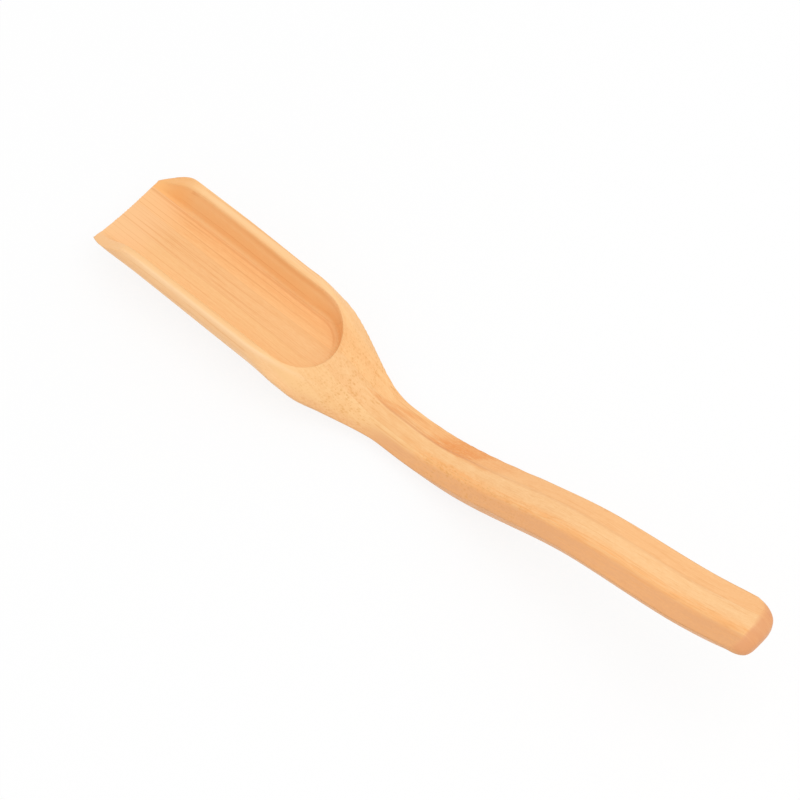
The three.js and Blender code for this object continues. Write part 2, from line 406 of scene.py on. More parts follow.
def endAt(y, z):  # x of the handle's end face, round in plan and leaning back with height
    bulge, power = handWork["farEnd" if y > 0 else "nearEnd"]
    side = min(abs(y) / (form["gripWidth"] / 2), 1)
    foot = form["endHeight"] - form["gripThickness"] + handWork["keelRise"]
    swell = bulge * (1 - side ** power) ** (1 / power)
    return overallLength - handWork["endShort"] - bulge + swell - handWork["endLean"] * max(z - foot, 0)


def steps(start, stop, size):  # evenly spaced from start to just short of stop
    count = max(round((stop - start) / size), 1)
    return [start + (stop - start) * i / count for i in range(count)]


def bodyRows(straight):  # rows of (x, y, z) from the front edge to the last stretch of the handle
    radius = sanding["frontEdge"]
    count = carving["frontRows"]
    rows = []
    for i in range(count):
        turn = i / count * math.pi / 2
        x = radius * (1 - math.cos(turn))
        ring = drawnIn(ringAt(x), radius * (1 - math.sin(turn)))
        rows.append([(frontAt(x, y), y, z) for y, z in ring])
    start = radius
    for stop, size in carving["rowSteps"] + [(straight, carving["handleStep"])]:
        for x in steps(start, stop, size):
            rows.append([(frontAt(x, y), y, z) for y, z in ringAt(x)])
        start = stop
    return rows


def endRows(straight):  # the last stretch follows the end face, and a rounded edge leads over to it
    radius = sanding["endEdge"]
    count = carving["endProbes"]
    stretch = overallLength - straight
    probes = [straight + stretch * i / count for i in range(count + 1)]
    rings = [ringAt(x) for x in probes]
    edge = []  # where the rounding starts on each line along the handle, counted in probes
    for j in range(len(rings[0])):
        past = [x - endAt(*ring[j]) + radius for x, ring in zip(probes, rings)]
        k = max(next((i for i, p in enumerate(past) if p >= 0), count), 1)
        edge.append(k - 1 + min(past[k - 1] / (past[k - 1] - past[k]), 1))

    def pointAt(j, at):  # the point j round the section, at a place between two probes
        k = min(int(at), count - 1)
        s = min(at - k, 1)
        a, b = (probes[k], *rings[k][j]), (probes[k + 1], *rings[k + 1][j])
        return tuple(p * (1 - s) + q * s for p, q in zip(a, b))

    rows = []
    for i in range(carving["tailRows"] + 1):
        rows.append([pointAt(j, last * i / carving["tailRows"]) for j, last in enumerate(edge)])
    section = [point[1:] for point in rows[-1]]
    wide = max(y for y, z in section)
    high, bottom = max(z for y, z in section), min(z for y, z in section)
    middle = (high + bottom) / 2
    turnRows, faceRows = carving["edgeRows"], carving["faceRows"]
    for i in range(1, turnRows + faceRows + 1):
        turn = min(i / turnRows, 1) * math.pi / 2
        depth = radius * (1 - math.cos(turn))
        share = 1 - max(i - turnRows, 0) / faceRows
        row = []
        for j, (y, z) in enumerate(section):
            ahead = pointAt(j, edge[j] + radius * math.sin(turn) * count / stretch)
            low = ramp(z, middle, bottom)  # the keel runs on into the edge
            y = (y + (ahead[1] - y) * low) * (1 - depth / wide) * share
            z += (ahead[2] - z) * low
            z = middle + (z - middle) * (1 - depth / (high - middle)) * share
            row.append((endAt(y, z) - radius * (1 - math.sin(turn)), y, z))
        rows.append(row)
    return rows


def carveBody():
    straight = overallLength - form["keelLength"] - form["endBulge"]
    rows = bodyRows(straight) + endRows(straight)
    body = bmesh.new()
    long, around = len(rows) - 1, len(rows[0])
    bmesh.ops.create_grid(body, x_segments=long, y_segments=around, size=1)
    for v in body.verts:
        i = round((v.co.x + 1) / 2 * long)
        j = round((v.co.y + 1) / 2 * around) % around
        x, y, z = rows[i][j]
        v.co = ((x - overallLength / 2) * mm, y * mm, z * mm)
    bmesh.ops.remove_doubles(body, verts=body.verts, dist=touching)
    bmesh.ops.holes_fill(body, edges=[e for e in body.edges if e.is_boundary], sides=0)
    bmesh.ops.recalc_face_normals(body, faces=body.faces)
    return body


def sandBody(body):
    body.normal_update()
    for v in body.verts:
        if v.co.z > sanding["soleClear"] * mm:
            pitched = [a / mm * pitch for a, pitch in zip(v.co, sanding["unevenPitch"])]
            shift = noise.noise(Vector(pitched))
            v.co -= v.normal * (shift + 1) / 2 * sanding["unevenness"] * mm
    body.normal_update()
    for face in body.faces:
        face.smooth = True


# Where the marks lie, in millimetres: rubbed edges with a painted highlight, painted shade in the neck's
# crease, under the far rim, in the trough's far back corner, at the near shoulder's turn and on the steep
# sides, and the end grain; a pair says where a mark begins and where it is full
wearAndPaintedLight = {
    "upward": 0.2,  # only what looks up has a rubbed edge with its painted highlight, or painted shade in a crease
    "nearRubAndHighlight": {"inset": 0.0, "spread": 0.42, "along": (62, 50)},
    "farRubAndHighlight": {"inset": 1.0, "spread": 0.7, "along": (60, 48)},
    "rubAndHighlightStart": (7, 17),
    "creaseOut": 0.12,
    "creaseSpread": 0.26,
    "creaseStart": (70, 74),
    "creaseFades": (104, 98),
    "creaseLeast": 0.4,
    "creaseStop": (168, 160),
    "endFacing": (0.944, 0, 0.33),  # the way the handle's end looks
    "endTurn": (0.28, 0.58),
    "endReach": (-3.6, -2.2),  # from the end face
    "endBand": (-2.6, -1.7),
    "endBandAcross": (-0.5, 1.5),
    "endBandShare": 0.75,
    "rimShadeDown": 1.5,
    "rimShadeSpread": 0.7,
    "rimShadeStart": (12, 34),
    "rimShadeInside": 0.9,
    "cornerStart": (46, 54),
    "cornerOut": (6.4, 7.6),
    "cornerAcross": (1, 3),
    "cornerOver": 0.3,
    "cornerShare": 0.5,
    "nearTurnShade": (-1.9, -0.7),  # from the widest line
    "nearTurnStart": (56, 62),
    "nearTurnStop": (86, 78),
    "outsideTurn": (0.25, 0),
    "outsideInset": 0.3,
    "outsideStart": 1,
}


def grainCutAt(at, x, normal):  # 1 where the fibres are cut across
    return abs(normal.x)


def rubAndHighlightAt(at, x, normal):  # 1 on the edges that hands and tins rub, lighter there partly from rubbing and partly as a painted highlight
    if normal.z <= wearAndPaintedLight["upward"]:
        return 0
    rubAndSheen = wearAndPaintedLight["farRubAndHighlight" if at.y > 0 else "nearRubAndHighlight"]
    edge = bell(abs(at.y) - lineAt(ridgeLine, x) + rubAndSheen["inset"], rubAndSheen["spread"])
    return edge * ramp(x, *rubAndSheen["along"]) * ramp(x, *wearAndPaintedLight["rubAndHighlightStart"])


def creaseShadeAt(at, x, normal):  # 1 in the line of painted shade beside the neck's far ridge
    if normal.z <= wearAndPaintedLight["upward"]:
        return 0
    line = bell(at.y - lineAt(handWork["farRidge"], x) - wearAndPaintedLight["creaseOut"], wearAndPaintedLight["creaseSpread"])
    fade = max(ramp(x, *wearAndPaintedLight["creaseFades"]), wearAndPaintedLight["creaseLeast"])
    return line * fade * ramp(x, *wearAndPaintedLight["creaseStart"]) * ramp(x, *wearAndPaintedLight["creaseStop"])


def endFaceAt(at, x, normal):  # 1 on the steep face round the handle's end
    past = x - endAt(at.y, at.z)
    facing = ramp(normal.dot(Vector(wearAndPaintedLight["endFacing"])), *wearAndPaintedLight["endTurn"])
    band = ramp(past, *wearAndPaintedLight["endBand"]) * ramp(at.y, *wearAndPaintedLight["endBandAcross"])
    return max(facing * ramp(past, *wearAndPaintedLight["endReach"]), band * wearAndPaintedLight["endBandShare"])


def underRimShadeAt(at, x, normal):  # 1 in the painted shade under the far rim and in the trough's far back corner
    r = math.hypot(max(x - cavityCentre, 0), at.y)
    shade, corner = 0, 0
    if 0 < at.y < lineAt(ridgeLine, x) and r > cavityHalf - wearAndPaintedLight["rimShadeInside"] and normal.y < 0:
        shade = bell(at.z - lineAt(topLine, x) + wearAndPaintedLight["rimShadeDown"], wearAndPaintedLight["rimShadeSpread"])
        shade *= ramp(x, *wearAndPaintedLight["rimShadeStart"])
    if r < cavityHalf + wearAndPaintedLight["cornerOver"]:
        corner = ramp(x, *wearAndPaintedLight["cornerStart"]) * ramp(r, *wearAndPaintedLight["cornerOut"])
        corner *= ramp(at.y, *wearAndPaintedLight["cornerAcross"])
    return max(shade, corner * wearAndPaintedLight["cornerShare"])


def nearTurnShadeAt(at, x, normal):  # 1 where the near shoulder turns down, painted darker as shade
    band = ramp(-at.y - lineAt(halfWidthLine, x), *wearAndPaintedLight["nearTurnShade"])
    return band * ramp(x, *wearAndPaintedLight["nearTurnStart"]) * ramp(x, *wearAndPaintedLight["nearTurnStop"])


def sideShadeAt(at, x, normal):  # 1 on the steep outer sides, painted darker and greyer as shade
    if abs(at.y) <= lineAt(ridgeLine, x) - wearAndPaintedLight["outsideInset"] or x <= wearAndPaintedLight["outsideStart"]:
        return 0
    return ramp(normal.z, *wearAndPaintedLight["outsideTurn"]) * (1 - endFaceAt(at, x, normal))


def markBody(body):
    marks = {
        "grainCut": grainCutAt,
        "rubAndHighlight": rubAndHighlightAt,
        "creaseShade": creaseShadeAt,
        "endFace": endFaceAt,
        "underRimShade": underRimShadeAt,
        "sideShade": sideShadeAt,
        "nearTurnShade": nearTurnShadeAt,
    }
    layers = {name: body.verts.layers.float.new(name) for name in marks}
    for v in body.verts:
        at = v.co / mm
        for name, markAt in marks.items():
            v[layers[name]] = markAt(at, at.x + overallLength / 2, v.normal)


body = carveBody()
sandBody(body)
markBody(body)
print("body carved:", len(body.faces), "faces")


def cutStrip(name):
    low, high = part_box(name)
    strip = body.copy()
    for y, side in ((low.y, -1), (high.y, 1)):
        if abs(abs(y) - bowlWidth / 2 * mm) < 0.5 * mm:  # a wall's outside is carved, not cut
            continue
        geom = strip.verts[:] + strip.edges[:] + strip.faces[:]
        cut = bmesh.ops.bisect_plane(
            strip, geom=geom, dist=touching, plane_co=(0, y, 0), plane_no=(0, side, 0), clear_outer=True
        )
        edges = [e for e in cut["geom_cut"] if isinstance(e, bmesh.types.BMEdge)]
        for e in edges:
            e.smooth = False
        for face in bmesh.ops.holes_fill(strip, edges=edges, sides=0)["faces"]:
            face.smooth = False
    bmesh.ops.recalc_face_normals(strip, faces=strip.faces)
    if strip.calc_volume(signed=True) < 0:
        bmesh.ops.reverse_faces(strip, faces=strip.faces)
    mesh = bpy.data.meshes.new(name + "_carved")
    strip.to_mesh(mesh)
    strip.free()
    piece = bpy.data.objects.new(name + "_carved", mesh)
    bpy.context.scene.collection.objects.link(piece)
    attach(piece, "root")
    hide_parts(name)
    return piece


def addNode(tree, kind, **values):
    node = tree.nodes.new(kind)
    for key, value in values.items():
        setattr(node, key, value)
    return node


def join(tree, *pairs):
    for a, b in pairs:
        tree.links.new(a, b)


def mathNode(tree, operation, a, b=None, c=None, clamp=False):
    node = addNode(tree, "ShaderNodeMath", operation=operation, use_clamp=clamp)
    for k, value in enumerate((a, b, c)):
        if value is None:
            continue
        if isinstance(value, (int, float)):
            node.inputs[k].default_value = value
        else:
            tree.links.new(value, node.inputs[k])
    return node.outputs[0]


def product(tree, first, *others):
    for other in others:
        first = mathNode(tree, "MULTIPLY", first, other)
    return first


def distanceNode(tree, value, middle):
    return mathNode(tree, "ABSOLUTE", mathNode(tree, "SUBTRACT", value, middle))


def vectorNode(tree, operation, *values):
    node = addNode(tree, "ShaderNodeVectorMath", operation=operation)
    for socket, value in zip(node.inputs, values):
        if isinstance(value, tuple):
            socket.default_value = value
        else:
            tree.links.new(value, socket)
    return node.outputs[0]


def splitNode(tree, vector):
    node = addNode(tree, "ShaderNodeSeparateXYZ")
    tree.links.new(vector, node.inputs[0])
    return node.outputs


def rampNode(tree, value, low, high, outLow=0.0, outHigh=1.0):
    node = addNode(tree, "ShaderNodeMapRange", interpolation_type="SMOOTHSTEP")
    for key, number in (("From Min", low), ("From Max", high), ("To Min", outLow), ("To Max", outHigh)):
        node.inputs[key].default_value = number
    tree.links.new(value, node.inputs["Value"])
    return node.outputs["Result"]


def mixNode(tree, share, a, b):
    node = addNode(tree, "ShaderNodeMix", data_type="RGBA", clamp_factor=True)
    for socket, value in ((node.inputs[0], share), (node.inputs[6], a), (node.inputs[7], b)):
        if isinstance(value, tuple):
            socket.default_value = (*value, 1)
        else:
            tree.links.new(value, socket)
    return node.outputs[2]


# Patterns of the grain: turns per millimetre along and across the fibres, detail and roughness
grainPattern = {
    "drift": (0.02, 0.08, 1, 0.5),
    "broad": (0.02, 0.21, 2, 0.5),
    "streaks": (0.012, 0.85, 3, 0.6),
    "fibres": (0.03, 3.2, 3, 0.65),
    "ripple": (0.006, 1.0, 1, 0.5),
    "jitter": (1.1, 1.1, 2, 0.5),
    "flocks": (0.35, 0.5, 2, 0.5),
    "pores": (0.5, 3.6, 2, 0.7),
}

# Where the grain changes, in millimetres from the blank's middle: from, to, and values other than 0 and 1
grainPlace = {
    "front": (-74, -82),
    "wall": (8.1, 9.3),
    "brim": (10.3, 11.5),
    "neckStart": (-34, -22),
    "neckStop": (45, 5),
    "handle": (-10, 30),
    "bareAlong": (-12, -2),
    "bareAcross": (-2.2, -0.8),
    "bandShift": (-8, 14, -1.2, -0.75),
    "middleStart": (-9, 4),
    "flankStart": (-17, -7),
    "stainAcross": (0.7, 1.3),
    "stainTaper": (6.9, 6.0),
    "floorLineAcross": (2.0, 5.0),
}

# How the grain is drawn: limits of a pattern's value, or millimetres
grainForm = {
    "wander": (0, 1.6, 1.6),
    "lay": (1, 1, 0.22),  # the pattern follows the bend of the handle
    "lineWidth": (0.032, 0.004),
    "lineBreaks": (0.36, 0.56),
    "bundlePitch": 1.8,
    "bundleHeight": 1.6,
    "bundleJitter": (0.7, 0.7, 0),
    "bundleSizes": (0, 1, 0.65, 2.3),
    "bundleEdge": (0.46, 0.08),
    "bundleFlocks": (0.34, 0.60, 0.2, 1.0),
    "bareShare": 0.85,
    "bandRagged": 1.5,
    "middleBand": (0.3, 2.3),
    "flankBand": (2.3, 3.8),
    "ringPitch": 1.5,
    "ringWidth": (0.13, 0.03),
    "ringBreaks": (0.4, 0.54),
    "ringStart": (0.6, 1.6),
    "ringStop": (4.6, 3.4),
    "stainRagged": 6,
    "stainLean": -1.2,
    "stainSpan": 50,
    "stainStops": [
        (-18, 0), (-15, 0.5), (-10, 0.5), (-7.5, 0.2), (-3, 0.25),
        (1.5, 0.95), (8.2, 0.95), (9.6, 0.35), (15, 0.3), (18, 0),
    ],
    "stainSlope": -0.25,
    "stainStreaks": (0.25, 0.6, 0.6, 1.0),
    "glueLines": (2.5, 7.5),
    "glueWidth": (0.16, 0.03),
    "floorLineOut": 6.95,
    "floorLineWidth": (0.32, 0.10),
}


def grainGroup():
    tree = bpy.data.node_groups.new("bambooGrain", "ShaderNodeTree")
    tree.interface.new_socket("Shift", in_out="INPUT", socket_type="NodeSocketVector")
    start = addNode(tree, "NodeGroupInput")
    source = addNode(tree, "ShaderNodeTexCoord").outputs["Object"]
    place = vectorNode(tree, "MULTIPLY", source, (1 / mm,) * 3)
    moved = vectorNode(tree, "ADD", place, start.outputs["Shift"])
    apart = splitNode(tree, place)
    atX, atY = apart["X"], apart["Y"]
    side = mathNode(tree, "ABSOLUTE", atY)

    def cloud(name, vector):
        along, across, detail, roughness = grainPattern[name]
        stretched = vectorNode(tree, "MULTIPLY", vector, (along, across, across))
        node = addNode(tree, "ShaderNodeTexNoise")
        for key, number in (("Scale", 1), ("Detail", detail), ("Roughness", roughness)):
            node.inputs[key].default_value = number
        tree.links.new(stretched, node.inputs["Vector"])
        return node.outputs

    def placed(value, name):
        return rampNode(tree, value, *grainPlace[name])

    def formed(value, name):
        return rampNode(tree, value, *grainForm[name])

    # Fibres wander a little to the side along the blank
    drift = vectorNode(tree, "SUBTRACT", cloud("drift", moved)["Color"], (0.5, 0.5, 0.5))
    wander = vectorNode(tree, "MULTIPLY_ADD", drift, grainForm["wander"], moved)
    grain = vectorNode(tree, "MULTIPLY", wander, grainForm["lay"])
    broad = cloud("broad", grain)["Fac"]
    streaks = cloud("streaks", grain)["Fac"]
    fibres = cloud("fibres", grain)["Fac"]
    pores = cloud("pores", wander)["Fac"]
    ripple = distanceNode(tree, cloud("ripple", grain)["Fac"], 0.5)
    lines = product(tree, formed(ripple, "lineWidth"), formed(fibres, "lineBreaks"))

    # Bundles run along the culm, so a slanting cut shows them as short dashes
    cells = addNode(tree, "ShaderNodeTexVoronoi", feature="F1", voronoi_dimensions="2D")
    cells.inputs["Scale"].default_value = grainForm["bundlePitch"]
    across = splitNode(tree, wander)
    flat = addNode(tree, "ShaderNodeCombineXYZ")
    join(tree, (across["Y"], flat.inputs["X"]))
    join(tree, (product(tree, across["Z"], grainForm["bundleHeight"]), flat.inputs["Y"]))
    jitter = cloud("jitter", moved)["Color"]
    bent = vectorNode(tree, "MULTIPLY_ADD", jitter, grainForm["bundleJitter"], flat.outputs[0])
    join(tree, (bent, cells.inputs["Vector"]))
    odd = splitNode(tree, cells.outputs["Color"])["X"]
    spots = product(tree, cells.outputs["Distance"], formed(odd, "bundleSizes"))
    bare = product(tree, placed(atX, "bareAlong"), placed(atY, "bareAcross"))
    kept = mathNode(tree, "MULTIPLY_ADD", bare, -grainForm["bareShare"], 1)
    flocks = cloud("flocks", moved)["Fac"]
    bundles = product(tree, formed(spots, "bundleEdge"), kept, formed(flocks, "bundleFlocks"))

    # The near side of the handle is painted darker in two ragged steps, painted shade for that side, with
    # rings along them
    handle = placed(atX, "handle")
    band = mathNode(tree, "SUBTRACT", product(tree, streaks, grainForm["bandRagged"]), atY)
    band = mathNode(tree, "ADD", band, placed(atX, "bandShift"))
    middle = product(tree, formed(band, "middleBand"), placed(atX, "middleStart"))
    flankShade = product(tree, formed(band, "flankBand"), placed(atX, "flankStart"))
    turns = mathNode(tree, "FRACT", product(tree, band, grainForm["ringPitch"]))
    rings = formed(distanceNode(tree, turns, 0.5), "ringWidth")
    rings = product(tree, rings, handle, formed(fibres, "ringBreaks"))
    rings = product(tree, rings, formed(band, "ringStart"), formed(band, "ringStop"))

    # A stain lies along the neck's far crease and stops short on the handle
    slanted = mathNode(tree, "MULTIPLY_ADD", atY, grainForm["stainLean"], atX)
    ragged = mathNode(tree, "MULTIPLY_ADD", fibres, grainForm["stainRagged"], slanted)
    spread = addNode(tree, "ShaderNodeValToRGB")
    stops = spread.color_ramp.elements
    span = grainForm["stainSpan"]
    for x, share in grainForm["stainStops"]:
        stop = stops.new(x / span + 0.5)
        stop.color = (share, share, share, 1)
    stops.remove(stops[0])
    stops.remove(stops[-1])
    tree.links.new(mathNode(tree, "MULTIPLY_ADD", ragged, 1 / span, 0.5), spread.inputs["Fac"])
    taper = mathNode(tree, "MULTIPLY_ADD", atX, grainForm["stainSlope"], atY)
    stain = product(tree, spread.outputs["Color"], placed(atY, "stainAcross"), placed(taper, "stainTaper"))
    stain = product(tree, stain, formed(streaks, "stainStreaks"))

    # Glue lines, and a line of painted shade along the foot of the far wall
    inner, outer = [distanceNode(tree, side, at) for at in grainForm["glueLines"]]
    glue = formed(mathNode(tree, "MINIMUM", inner, outer), "glueWidth")
    beyond = mathNode(tree, "ADD", atX, overallLength / 2 - cavityCentre)
    beyond = mathNode(tree, "MAXIMUM", beyond, 0)
    out = mathNode(tree, "MULTIPLY_ADD", beyond, beyond, product(tree, atY, atY))
    out = distanceNode(tree, mathNode(tree, "SQRT", out), grainForm["floorLineOut"])
    floorLine = product(tree, formed(out, "floorLineWidth"), placed(atY, "floorLineAcross"))

    found = {
        "Broad": broad,
        "Streaks": streaks,
        "Fibres": fibres,
        "Pores": pores,
        "Lines": lines,
        "Bundles": bundles,
        "Front": placed(atX, "front"),
        "Wall": placed(side, "wall"),
        "Brim": placed(side, "brim"),
        "Neck": product(tree, placed(atX, "neckStart"), placed(atX, "neckStop")),
        "Handle": handle,
        "FlankShade": flankShade,
        "Middle": middle,
        "Rings": rings,
        "Stain": stain,
        "FloorLine": floorLine,
        "Glue": glue,
        "Mottle": flocks,
    }
    for name in found:
        tree.interface.new_socket(name, in_out="OUTPUT", socket_type="NodeSocketFloat")
    end = addNode(tree, "NodeGroupOutput")
    for name, value in found.items():
        tree.links.new(value, end.inputs[name])
    return tree


bambooGrain = grainGroup()

# Each strip comes from another culm, so tone and pattern differ; the tones change towards the handle
bambooStrips = {
    "centre_strip": {
        "bowl": ((0.925, 0.555, 0.255), (0.87, 0.465, 0.188)),
        "handle": ((0.955, 0.585, 0.28), (0.90, 0.50, 0.215)),
        "front": (0.945, 0.55, 0.263),
        "shift": (0, 0, 0),
    },
    "near_inner_strip": {
        "bowl": ((0.945, 0.59, 0.275), (0.89, 0.505, 0.213)),
        "handle": ((0.935, 0.575, 0.26), (0.88, 0.49, 0.20)),
        "front": (0.945, 0.555, 0.266),
        "shift": (37, 11, 5),
    },
    "far_inner_strip": {
        "bowl": ((0.955, 0.565, 0.25), (0.90, 0.467, 0.182)),
        "handle": ((0.94, 0.53, 0.235), (0.895, 0.465, 0.19)),
        "front": (0.955, 0.545, 0.25),
        "shift": (81, -23, 14),
    },
    "near_wall_strip": {
        "bowl": ((0.98, 0.61, 0.30), (0.93, 0.525, 0.24)),
        "handle": ((0.905, 0.55, 0.26), (0.85, 0.465, 0.20)),
        "front": (0.945, 0.545, 0.25),
        "brim": (0.93, 0.565, 0.255),
        "shift": (-52, 31, -9),
    },
    "far_wall_strip": {
        "bowl": ((0.965, 0.60, 0.285), (0.93, 0.52, 0.22)),
        "handle": ((0.905, 0.55, 0.26), (0.85, 0.465, 0.20)),
        "foot": (0.94, 0.535, 0.228),
        "front": (0.97, 0.485, 0.168),
        "shift": (23, -47, 21),
    },
}

# The tones that they share, with painted shade and a painted highlight among them: tones, the most that each
# covers, and the limits of what it follows
bambooTonesAndShade = {
    "wood": {"Broad": 1.0, "Streaks": 0.8, "Fibres": 1.3, "Pores": 1.6},
    "woodLevel": -1.85,
    "mottle": 1.2,
    "lowShare": 0.85,
    "frontShare": 0.9,
    # middle and flank: the two steps of painted shade on the handle's near side; flank also tints the
    # painted shade at the near shoulder
    "middle": (0.93, 0.45, 0.16),
    "flankShade": (0.775, 0.385, 0.168),
    "flankWood": (0.1, 0.9, 1.0, 0.65),
    "line": (0.78, 0.36, 0.125),
    "lineShare": 0.5,
    "lineCut": (0.10, 0.02),  # lines show where the fibres lie along the surface
    "lineHandle": 0.6,
    "floorLineShare": 0.5,
    "ringShare": 0.38,
    "bundle": (0.66, 0.28, 0.045),
    "bundleShare": 0.44,
    "bundleCut": (0.03, 0.22),  # dashes show where the surface cuts them
    "bundleNeck": 0.85,
    "bundleMiddle": 0.6,
    "stain": (0.82, 0.30, 0.075),
    "stainShare": 0.95,
    "glue": (0.76, 0.38, 0.15),
    "glueShare": 0.16,
    # a line of painted shade in the neck's far crease
    "creaseShade": (0.70, 0.30, 0.11),
    "creaseShadeShare": 0.9,
    # painted shade under the far rim and in the trough's far back corner
    "underRimShade": (0.80, 0.36, 0.115),
    "underRimShadeShare": 0.5,
    # painted shade on the steep outer sides
    "sideShade": (0.76, 0.465, 0.25),
    "sideShadeShare": 0.2,
    # painted shade where the near shoulder turns down, in the flank's tone
    "nearTurnShadeShare": 0.6,
    "endGrain": (0.735, 0.325, 0.14),
    "endGrainShare": 0.9,
    # lighter rubbed edges: partly wear, partly a painted highlight
    "rubAndHighlight": (0.99, 0.66, 0.375),
    "rubAndHighlightShare": {"near": 0.8, "far": 0.32},
    "rubAndHighlightHandle": (0.5, 0.0),
    "patches": {
        "middleNeck": ("Pores", 0.40, 0.58, 0.3, 1.0),
        "middleHandle": ("Fibres", 0.38, 0.60, 0.35, 0.95),
        "stain": ("Pores", 0.34, 0.58, 0.6, 1.0),
        "creaseShade": ("Fibres", 0.3, 0.6, 0.5, 1.0),
        "nearTurnShade": ("Pores", 0.36, 0.6, 0.55, 1.0),
        "endGrain": ("Streaks", 0.3, 0.6, 0.8, 1.0),
        "roughness": ("Fibres", 0.3, 0.7, 0.42, 0.58),
    },
    "specular": 0.3,
    "relief": 0.3,
    "reliefDepth": 0.03 * mm,
    "bundleDepth": 0.8,
}


def bambooMaterial(name, tone):
    material = bpy.data.materials.new("bamboo_" + name)
    material.use_nodes = True
    tree = material.node_tree
    shader = tree.nodes["Principled BSDF"]
    grain = addNode(tree, "ShaderNodeGroup", node_tree=bambooGrain)
    grain.inputs["Shift"].default_value = tone["shift"]
    seen = grain.outputs
    tonesAndShade = bambooTonesAndShade

    def marked(layer):
        return addNode(tree, "ShaderNodeAttribute", attribute_name=layer).outputs["Fac"]

    def patchy(mark):  # the grain breaks a mark up
        pattern, *limits = tonesAndShade["patches"][mark]
        return rampNode(tree, seen[pattern], *limits)

    def laid(under, mark, *shares):
        return mixNode(tree, product(tree, *shares), under, tonesAndShade[mark])

    # The wood's own tone, lighter and darker with the grain
    wood = tonesAndShade["woodLevel"]
    for pattern, weight in tonesAndShade["wood"].items():
        wood = mathNode(tree, "MULTIPLY_ADD", seen[pattern], weight, wood)
    mottle = product(tree, mathNode(tree, "SUBTRACT", seen["Mottle"], 0.5), seen["Neck"])
    wood = mathNode(tree, "MULTIPLY_ADD", mottle, tonesAndShade["mottle"], wood, clamp=True)
    atBowl = mixNode(tree, wood, *tone["bowl"])
    atHandle = mixNode(tree, wood, *tone["handle"])
    colour = mixNode(tree, seen["Neck" if "wall" in name else "Handle"], atBowl, atHandle)
    for low, above in (("brim", "Brim"), ("foot", "Wall")):
        if low in tone:
            share = product(tree, mathNode(tree, "SUBTRACT", 1, seen[above]), tonesAndShade["lowShare"])
            colour = mixNode(tree, share, colour, tone[low])
    colour = mixNode(tree, product(tree, seen["Front"], tonesAndShade["frontShare"]), colour, tone["front"])

    # The marks of the grain, each over the one before, with two steps of painted shade on the handle's near
    # side and a line of painted shade at the far wall's foot
    if name in ("centre_strip", "near_inner_strip"):
        spotted = patchy("middleNeck")
        change = mathNode(tree, "SUBTRACT", patchy("middleHandle"), spotted)
        spotted = mathNode(tree, "MULTIPLY_ADD", change, seen["Handle"], spotted)
        colour = laid(colour, "middle", seen["Middle"], spotted)
        colour = laid(colour, "flankShade", seen["FlankShade"], rampNode(tree, wood, *tonesAndShade["flankWood"]))
        colour = laid(colour, "line", seen["Rings"], tonesAndShade["ringShare"])
    cut = marked("grainCut")
    level = product(tree, seen["Handle"], tonesAndShade["lineHandle"])
    level = mathNode(tree, "MAXIMUM", rampNode(tree, cut, *tonesAndShade["lineCut"]), level)
    colour = laid(colour, "line", seen["Lines"], level, tonesAndShade["lineShare"])
    # a line of painted shade along the foot of the far wall
    if name == "far_inner_strip":
        colour = laid(colour, "line", seen["FloorLine"], tonesAndShade["floorLineShare"])
    slant = mathNode(tree, "MULTIPLY_ADD", seen["Neck"], tonesAndShade["bundleNeck"], 1 - tonesAndShade["bundleNeck"])
    slant = product(tree, rampNode(tree, cut, *tonesAndShade["bundleCut"]), slant)
    inBand = product(tree, seen["Middle"], seen["Neck"], tonesAndShade["bundleMiddle"])
    slant = mathNode(tree, "MAXIMUM", slant, inBand)
    dashes = product(tree, seen["Bundles"], slant, tonesAndShade["bundleShare"])
    colour = laid(colour, "bundle", dashes)
    if name in ("centre_strip", "far_inner_strip"):
        colour = laid(colour, "stain", seen["Stain"], patchy("stain"), tonesAndShade["stainShare"])
    colour = laid(colour, "glue", seen["Glue"], tonesAndShade["glueShare"])

    # The marks of the making and of use, with painted shade in the crease, under the far rim, on the steep
    # sides and at the near shoulder, and a painted highlight on the rubbed edges
    colour = laid(colour, "creaseShade", marked("creaseShade"), patchy("creaseShade"), tonesAndShade["creaseShadeShare"])
    colour = laid(colour, "underRimShade", marked("underRimShade"), tonesAndShade["underRimShadeShare"])
    colour = laid(colour, "sideShade", marked("sideShade"), tonesAndShade["sideShadeShare"])
    colour = laid(colour, "flankShade", marked("nearTurnShade"), patchy("nearTurnShade"), tonesAndShade["nearTurnShadeShare"])
    colour = laid(colour, "endGrain", marked("endFace"), patchy("endGrain"), tonesAndShade["endGrainShare"])
    # The rubbed edges are lighter partly from wear and partly as a painted highlight
    bright = tonesAndShade["rubAndHighlightShare"]["far" if "far" in name else "near"]
    bowlOnly = rampNode(tree, seen["Handle"], *tonesAndShade["rubAndHighlightHandle"])
    colour = laid(colour, "rubAndHighlight", marked("rubAndHighlight"), bowlOnly, bright)

    height = mathNode(tree, "MULTIPLY_ADD", dashes, -tonesAndShade["bundleDepth"], seen["Fibres"])
    bump = addNode(tree, "ShaderNodeBump")
    bump.inputs["Strength"].default_value = tonesAndShade["relief"]
    bump.inputs["Distance"].default_value = tonesAndShade["reliefDepth"]
    join(tree, (colour, shader.inputs["Base Color"]), (patchy("roughness"), shader.inputs["Roughness"]))
    join(tree, (height, bump.inputs["Height"]), (bump.outputs["Normal"], shader.inputs["Normal"]))
    shader.inputs["Specular IOR Level"].default_value = tonesAndShade["specular"]
    return material


for name, tone in bambooStrips.items():
    piece = cutStrip(name)
    piece.data.materials.append(bambooMaterial(name, tone))
    print("strip cut:", name, len(piece.data.polygons), "faces")
body.free()

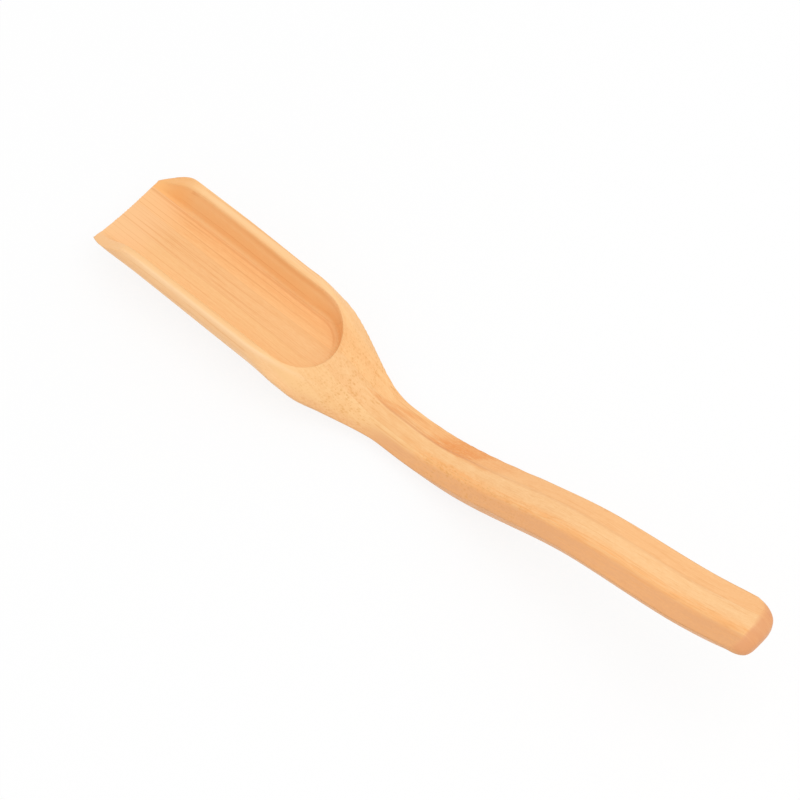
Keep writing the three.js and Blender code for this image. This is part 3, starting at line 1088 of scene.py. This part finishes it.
# Floor, light and camera, with lengths in metres
studio = {
    "floorHalf": 3,
    "floorDrop": 0.02 * mm,  # just clear of the sole
    "floor": 0.93,
    "floorGlow": 0.86,  # how much of the floor's white is its own
    "sky": 0.86,
    "keyPower": 1.6,
    "keyAt": (0.25, 0.05, 0.75),
    "keySize": 0.6,
}


def seenRays(tree):  # 1 for what the camera sees, directly or in a reflection
    rays = addNode(tree, "ShaderNodeLightPath").outputs
    seen = mathNode(tree, "MAXIMUM", rays["Is Camera Ray"], rays["Is Glossy Ray"])
    return mathNode(tree, "MAXIMUM", seen, rays["Is Transmission Ray"])


def makeFloor():
    sheet = bmesh.new()
    bmesh.ops.create_grid(sheet, x_segments=1, y_segments=1, size=studio["floorHalf"])
    bmesh.ops.translate(sheet, verts=sheet.verts, vec=(0, 0, -studio["floorDrop"]))
    mesh = bpy.data.meshes.new("floor")
    sheet.to_mesh(mesh)
    sheet.free()
    floor = bpy.data.objects.new("floor", mesh)
    bpy.context.scene.collection.objects.link(floor)
    material = bpy.data.materials.new("paleFloor")
    material.use_nodes = True
    tree = material.node_tree
    tree.nodes.clear()
    out = addNode(tree, "ShaderNodeOutputMaterial")
    matt = addNode(tree, "ShaderNodeBsdfDiffuse")
    matt.inputs["Color"].default_value = (studio["floor"],) * 3 + (1,)
    glow = addNode(tree, "ShaderNodeEmission")
    both = addNode(tree, "ShaderNodeMixShader")
    share = product(tree, seenRays(tree), studio["floorGlow"])
    join(tree, (share, both.inputs[0]), (matt.outputs[0], both.inputs[1]), (glow.outputs[0], both.inputs[2]))
    join(tree, (both.outputs[0], out.inputs["Surface"]))
    mesh.materials.append(material)


def makeSky():
    world = bpy.data.worlds.new("whiteRoom")
    bpy.context.scene.world = world
    world.use_nodes = True
    tree = world.node_tree
    tree.nodes.clear()
    out = addNode(tree, "ShaderNodeOutputWorld")
    back = addNode(tree, "ShaderNodeBackground")
    back.inputs["Color"].default_value = (1, 1, 1, 1)
    strength = mathNode(tree, "MULTIPLY_ADD", seenRays(tree), 1 - studio["sky"], studio["sky"])
    join(tree, (strength, back.inputs["Strength"]), (back.outputs[0], out.inputs["Surface"]))


def makeKey():
    lamp = bpy.data.lights.new("softKey", "AREA")
    lamp.energy = studio["keyPower"]
    lamp.size = studio["keySize"]
    key = bpy.data.objects.new("softKey", lamp)
    key.location = studio["keyAt"]
    key.rotation_euler = (-Vector(studio["keyAt"])).to_track_quat("-Z", "Y").to_euler()
    bpy.context.scene.collection.objects.link(key)


viewpoint = {
    "azimuth": 41.929,
    "elevation": 59.011,
    "distance": 800 * mm,
    "aimHeight": 12 * mm,
    "aside": -6.488 * mm,
    "above": 6.415 * mm,
    "lens": 174.12,  # lens and sensor in millimetres
    "sensor": 36,
    "nearest": 0.01,
}


def makeCamera():
    turn, tilt = math.radians(viewpoint["azimuth"]), math.radians(viewpoint["elevation"])
    back = Vector((math.sin(turn) * math.cos(tilt), -math.cos(turn) * math.cos(tilt), math.sin(tilt)))
    right = Vector((math.cos(turn), math.sin(turn), 0))
    up = back.cross(right)
    camera = bpy.data.cameras.new("camera")
    camera.sensor_width = viewpoint["sensor"]
    camera.lens = viewpoint["lens"]
    camera.clip_start = viewpoint["nearest"]
    stand = bpy.data.objects.new("camera", camera)
    stand.location = Vector((0, 0, viewpoint["aimHeight"])) + back * viewpoint["distance"]
    stand.location += right * viewpoint["aside"] + up * viewpoint["above"]
    stand.rotation_euler = Matrix((right, up, back)).transposed().to_euler()
    bpy.context.scene.collection.objects.link(stand)
    bpy.context.scene.camera = stand


makeFloor()
makeSky()
makeKey()
makeCamera()
bpy.context.scene.view_settings.view_transform = "Standard"
print("studio set")
